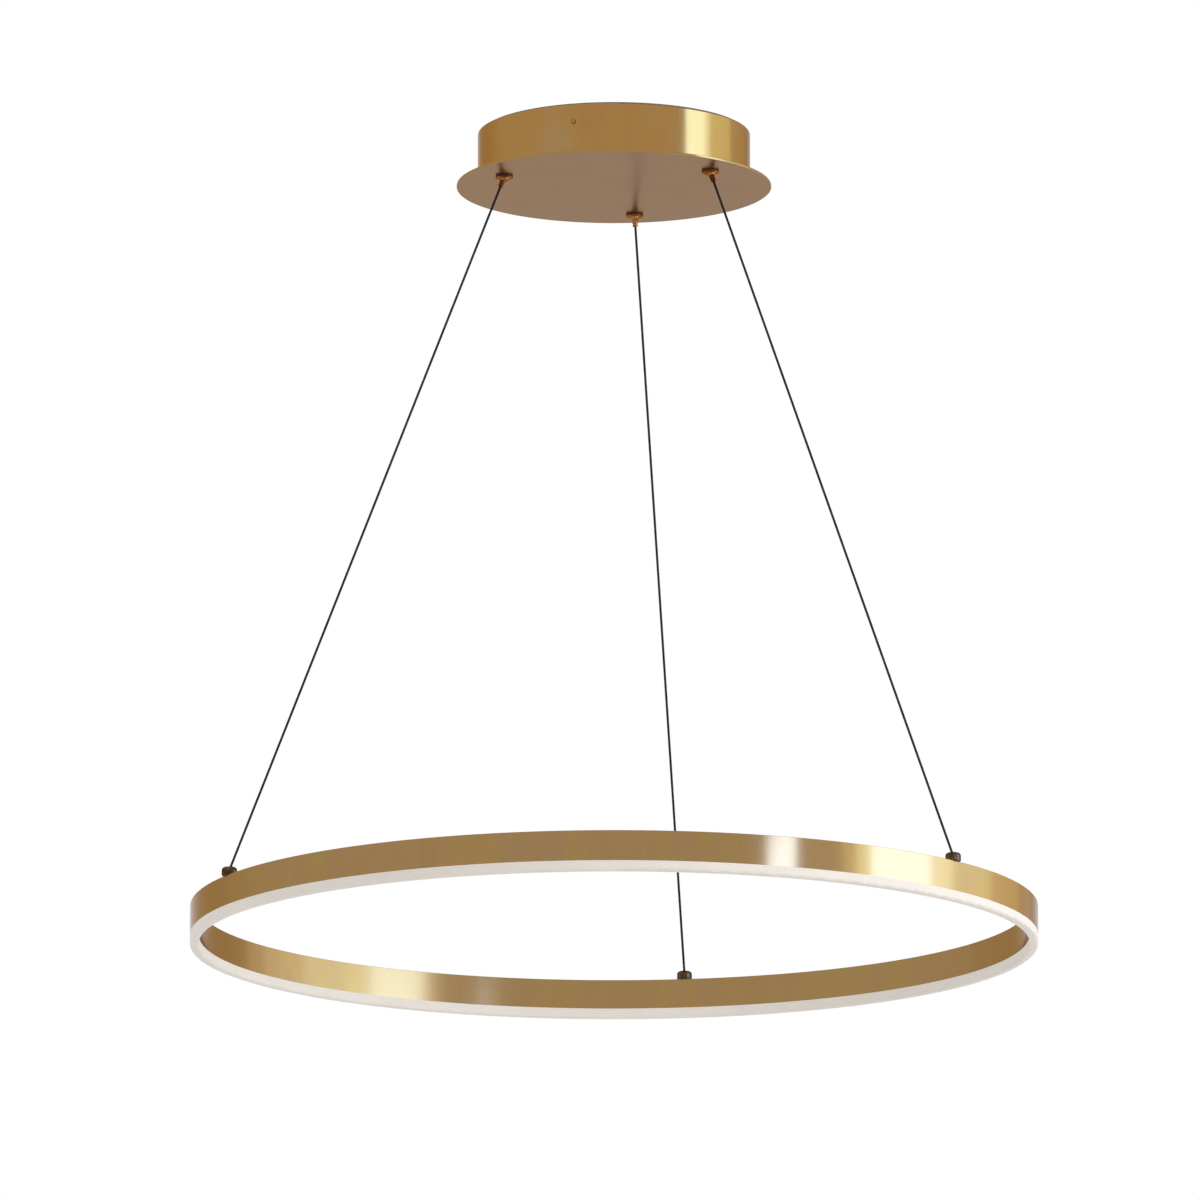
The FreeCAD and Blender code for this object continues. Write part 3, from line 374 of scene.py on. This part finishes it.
def opal():
    """Milky plastic, which light enters a little way."""
    material, tree, shader = new_material("opal", Subsurface_Weight=0.15, Subsurface_Scale=4 * MM,
                                          Roughness=0.5, Specular_IOR_Level=0.15)
    cloud = tones(tree, noise(tree, (30, 30, 60), 2.0), [(0.75, 0.69, 0.625), (0.775, 0.72, 0.66)])
    speck = noise(tree, (1500, 1500, 1500), 2.0)
    tree.links.new(shaded(tree, cloud, speck, 0.015), shader.inputs["Base Color"])
    raised(tree, shader, speck, 10 * MICRON)
    return material


def paint(material, *names):
    for name in names:
        slots = NODES[name].data.materials
        slots.clear()
        slots.append(material)


def paint_nodes():
    paint(ring_metal(), "ring_channel")
    paint(drum_metal(), "canopy_drum")
    paint(plate_metal(), "canopy_plate")
    paint(polished("gripper_copper", [(0.17, 0.055, 0.018), (0.36, 0.16, 0.06)], (0.62, 0.42, 0.28), 0.08),
          "gripper_collars", *numbered("gripper_swivel"), *numbered("release_sleeve"))
    paint(polished("cap_bronze", [(0.032, 0.019, 0.008), (0.11, 0.072, 0.033)], (0.5, 0.42, 0.34), 0.08),
          "cable_caps")
    paint(polished("screw_brass", [(0.31, 0.175, 0.06), (0.34, 0.19, 0.062)], (0.6, 0.5, 0.42), 0.25),
          "side_screws")
    paint(opal(), "diffuser")
    paint(plain("mount_grey", (0.13, 0.13, 0.135), 0.5, scale=900, depth=5 * MICRON), "mounting_plate")
    paint(plain("zinc", (0.42, 0.43, 0.45), 0.35, metallic=1.0, scale=900, depth=5 * MICRON),
          "drum_brackets", "bracket_nuts", "driver_nuts", "clamp_screws", "earth_nut",
          "gripper_locknuts", "anchor_screws")
    paint(plain("tin", (0.62, 0.61, 0.58), 0.3, metallic=1.0, scale=900, depth=4 * MICRON),
          "earth_lug", "tail_crimps", "feed_lugs", *numbered("ball_end"), *numbered("release_spring"))
    paint(plain("case_white", (0.78, 0.78, 0.76), 0.55), "driver_housing", "driver_covers")
    paint(plain("nylon", (0.72, 0.70, 0.64), 0.5), "terminal_block")
    paint(plain("black_nylon", (0.03, 0.03, 0.032), 0.5), "gripper_bushes", "anchor_bushes")
    paint(plain("brown_nylon", (0.06, 0.032, 0.016), 0.45), "gripper_washers", "cap_washers")
    paint(plain("rubber", (0.025, 0.025, 0.025), 0.75), "cable_grommet")
    paint(plain("strip_mask", (0.8, 0.8, 0.77), 0.4), "led_strips")
    paint(plain("phosphor", (0.85, 0.66, 0.2), 0.45), "led_chips")
    paint(plain("red_wire", (0.42, 0.03, 0.025), 0.4), "feed_leads")


# Cables and leads, in millimetres

CABLE_DIAMETER = 2.4
LEAD_DIAMETER = 2.2
# A cable runs from the top of its gripper's ball to the flat of its ball end.
SWIVEL_RADIUS = 5
BALL_FLAT = 1.897
CABLE_STEPS = 450
ROPE_LAY = 15
ROPE_STRANDS = 6
STRAND_SIDES = 6

CABLE_ANGLES = (80, 205, 322.5)
GRIPPER_RADIUS = 115
TAIL_BEND_RADIUS = 106
CRIMP_RADIUS = 93
TAIL_START = -48.9
TAIL_BEND = -35.9
TAIL_LEVEL = -26.9
LEAD_LEVEL = -38.5
BLOCK_LEVEL = -45
EARTH_LEVEL = -49.2


def route(name, points, bevel=0.0, resolution=12):
    """A smooth line through space, as a curve."""
    data = bpy.data.curves.new(name, "CURVE")
    data.dimensions = "3D"
    data.resolution_u = resolution
    data.bevel_depth = bevel
    data.bevel_resolution = 4
    data.use_fill_caps = bevel > 0
    spline = data.splines.new("NURBS")
    spline.points.add(len(points) - 1)
    for point, place in zip(spline.points, points):
        point.co = (*place, 1)
    spline.order_u = 3
    spline.use_endpoint_u = True
    return add_object(name, data)


def route_line(points, resolution):
    """The points that a route's own spline runs through."""
    curve = route("line", points, resolution=resolution)
    mesh = bpy.data.meshes.new_from_object(curve)
    line = [vertex.co.copy() for vertex in mesh.vertices]
    bpy.data.objects.remove(curve)
    bpy.data.meshes.remove(mesh)
    return line


def rope(name, line, diameter):
    """Strands laid round a core strand along a straight line."""
    along = (line[-1] - line[0]).normalized()
    side = along.orthogonal().normalized()
    up = along.cross(side)
    strand_diameter = diameter / 3
    vertices = []
    faces = []
    for strand in range(ROPE_STRANDS + 1):
        offset = strand_diameter if strand else 0
        base = len(vertices)
        for place in line:
            turn = 2 * math.pi * ((place - line[0]).length / (ROPE_LAY * MM) + strand / ROPE_STRANDS)
            centre = place + offset * (math.cos(turn) * side + math.sin(turn) * up)
            for corner in range(STRAND_SIDES):
                angle = 2 * math.pi * corner / STRAND_SIDES + turn
                out = math.cos(angle) * side + math.sin(angle) * up
                vertices.append(centre + strand_diameter / 2 * out)
        for row in range(len(line) - 1):
            first = base + row * STRAND_SIDES
            for corner in range(STRAND_SIDES):
                after = (corner + 1) % STRAND_SIDES
                faces.append((first + corner, first + after, first + STRAND_SIDES + after,
                              first + STRAND_SIDES + corner))
        last = base + (len(line) - 1) * STRAND_SIDES
        faces.append(tuple(base + corner for corner in reversed(range(STRAND_SIDES))))
        faces.append(tuple(last + corner for corner in range(STRAND_SIDES)))
    mesh = bpy.data.meshes.new(name)
    mesh.from_pydata(vertices, [], faces)
    mesh.polygons.foreach_set("use_smooth", [True] * len(faces))
    return add_object(name, mesh)


def make_cables():
    """The cables ride on the ring."""
    steel = polished("cable_steel", [(0.024, 0.022, 0.02), (0.05, 0.048, 0.044)], (0.5, 0.5, 0.5), 0.3)
    diameter = CABLE_DIAMETER * MM
    for number in CABLES:
        pivot = Vector(JOINTS[f"gripper_{number}_tilt"]["pos_m"])
        ball = Vector(JOINTS[f"ball_{number}_tilt"]["pos_m"])
        along = (ball - pivot).normalized()
        top = pivot - along * SWIVEL_RADIUS * MM
        bottom = ball - along * BALL_FLAT * MM
        line = route_line([top, (top + bottom) / 2, bottom], CABLE_STEPS)
        cable = rope(f"cable_{number}", line, diameter)
        cable.data.materials.append(steel)
        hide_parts(f"suspension_cable_{number}")
        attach(cable, "ring")
        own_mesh(cable)


def polar(radius, angle, level):
    turn = math.radians(angle)
    return radius * math.cos(turn), radius * math.sin(turn), level


def tail_points(angle):
    """From the gripper's lock nut up and inwards to the crimp."""
    return [polar(GRIPPER_RADIUS, angle, TAIL_START), polar(GRIPPER_RADIUS, angle, TAIL_BEND),
            polar(TAIL_BEND_RADIUS, angle, TAIL_LEVEL), polar(CRIMP_RADIUS, angle, TAIL_LEVEL)]


# The cords inside the canopy: name, node, slot, diameter, length and the points of the route.
LEADS = [
    *[(name, "cable_tails", "cable_steel", CABLE_DIAMETER, 37, tail_points(angle))
      for name, angle in zip(numbered("cable_tail"), CABLE_ANGLES)],
    ("output_lead_2", "output_leads", "lead_red", LEAD_DIAMETER, 117,
     [polar(CRIMP_RADIUS, CABLE_ANGLES[1], TAIL_LEVEL), polar(79, CABLE_ANGLES[1], TAIL_LEVEL),
      (-68, -14, -29.9), (-74, 4, -35.5), (-86, 20, LEAD_LEVEL), (-90, 38, LEAD_LEVEL),
      (-79, 49, LEAD_LEVEL), (-65, 49, LEAD_LEVEL)]),
    ("output_lead_3", "output_leads", "lead_red", LEAD_DIAMETER, 230,
     [polar(CRIMP_RADIUS, CABLE_ANGLES[2], TAIL_LEVEL), polar(77, CABLE_ANGLES[2], TAIL_LEVEL),
      (36, -52, -30.9), (8, -62, -36.5), (-20, -58, LEAD_LEVEL), (-44, -42, LEAD_LEVEL),
      (-56, -18, LEAD_LEVEL), (-64, 4, LEAD_LEVEL), (-74, 18, LEAD_LEVEL), (-82, 29, LEAD_LEVEL),
      (-80, 38, LEAD_LEVEL), (-72.5, 41, LEAD_LEVEL), (-65, 41, LEAD_LEVEL)]),
    ("live_lead", "supply_leads", "lead_brown", LEAD_DIAMETER, 67.5,
     [(58, 0, BLOCK_LEVEL), (69, 0, BLOCK_LEVEL), (79, 14, LEAD_LEVEL), (84, 28, LEAD_LEVEL),
      (79, 41, LEAD_LEVEL), (65, 41, LEAD_LEVEL)]),
    ("neutral_lead", "supply_leads", "lead_brown", LEAD_DIAMETER, 100,
     [(58, -10, BLOCK_LEVEL), (72, -10, BLOCK_LEVEL), (84, 2, LEAD_LEVEL), (92, 20, LEAD_LEVEL),
      (94, 38, LEAD_LEVEL), (84, 49, LEAD_LEVEL), (65, 49, LEAD_LEVEL)]),
    ("earth_lead_1", "earth_lead", "lead_green", LEAD_DIAMETER, 36.6,
     [(42, -20, BLOCK_LEVEL), (33, -20, BLOCK_LEVEL), (24.309, -34.670, EARTH_LEVEL),
      (14.479, -41.553, EARTH_LEVEL)]),
]


def make_leads():
    finishes = {
        "cable_steel": plain("tail_steel", (0.12, 0.12, 0.13), 0.35, metallic=1.0, scale=1500),
        "lead_red": plain("lead_red", (0.42, 0.03, 0.025), 0.4),
        "lead_brown": plain("lead_brown", (0.16, 0.06, 0.03), 0.4),
        "lead_green": plain("lead_green", (0.12, 0.36, 0.06), 0.4),
    }
    for name, node, slot, diameter, length, points in LEADS:
        places = [Vector(point) * MM for point in points]
        lead = route(name, places, bevel=diameter / 2 * MM)
        lead.data.materials.append(finishes[slot])
        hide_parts(node)
        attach(lead, "canopy")


bpy.context.scene.view_settings.view_transform = "Standard"
make_camera()
make_lamps()
make_key()
make_world()
make_floor()
paint_nodes()
make_cables()
make_leads()
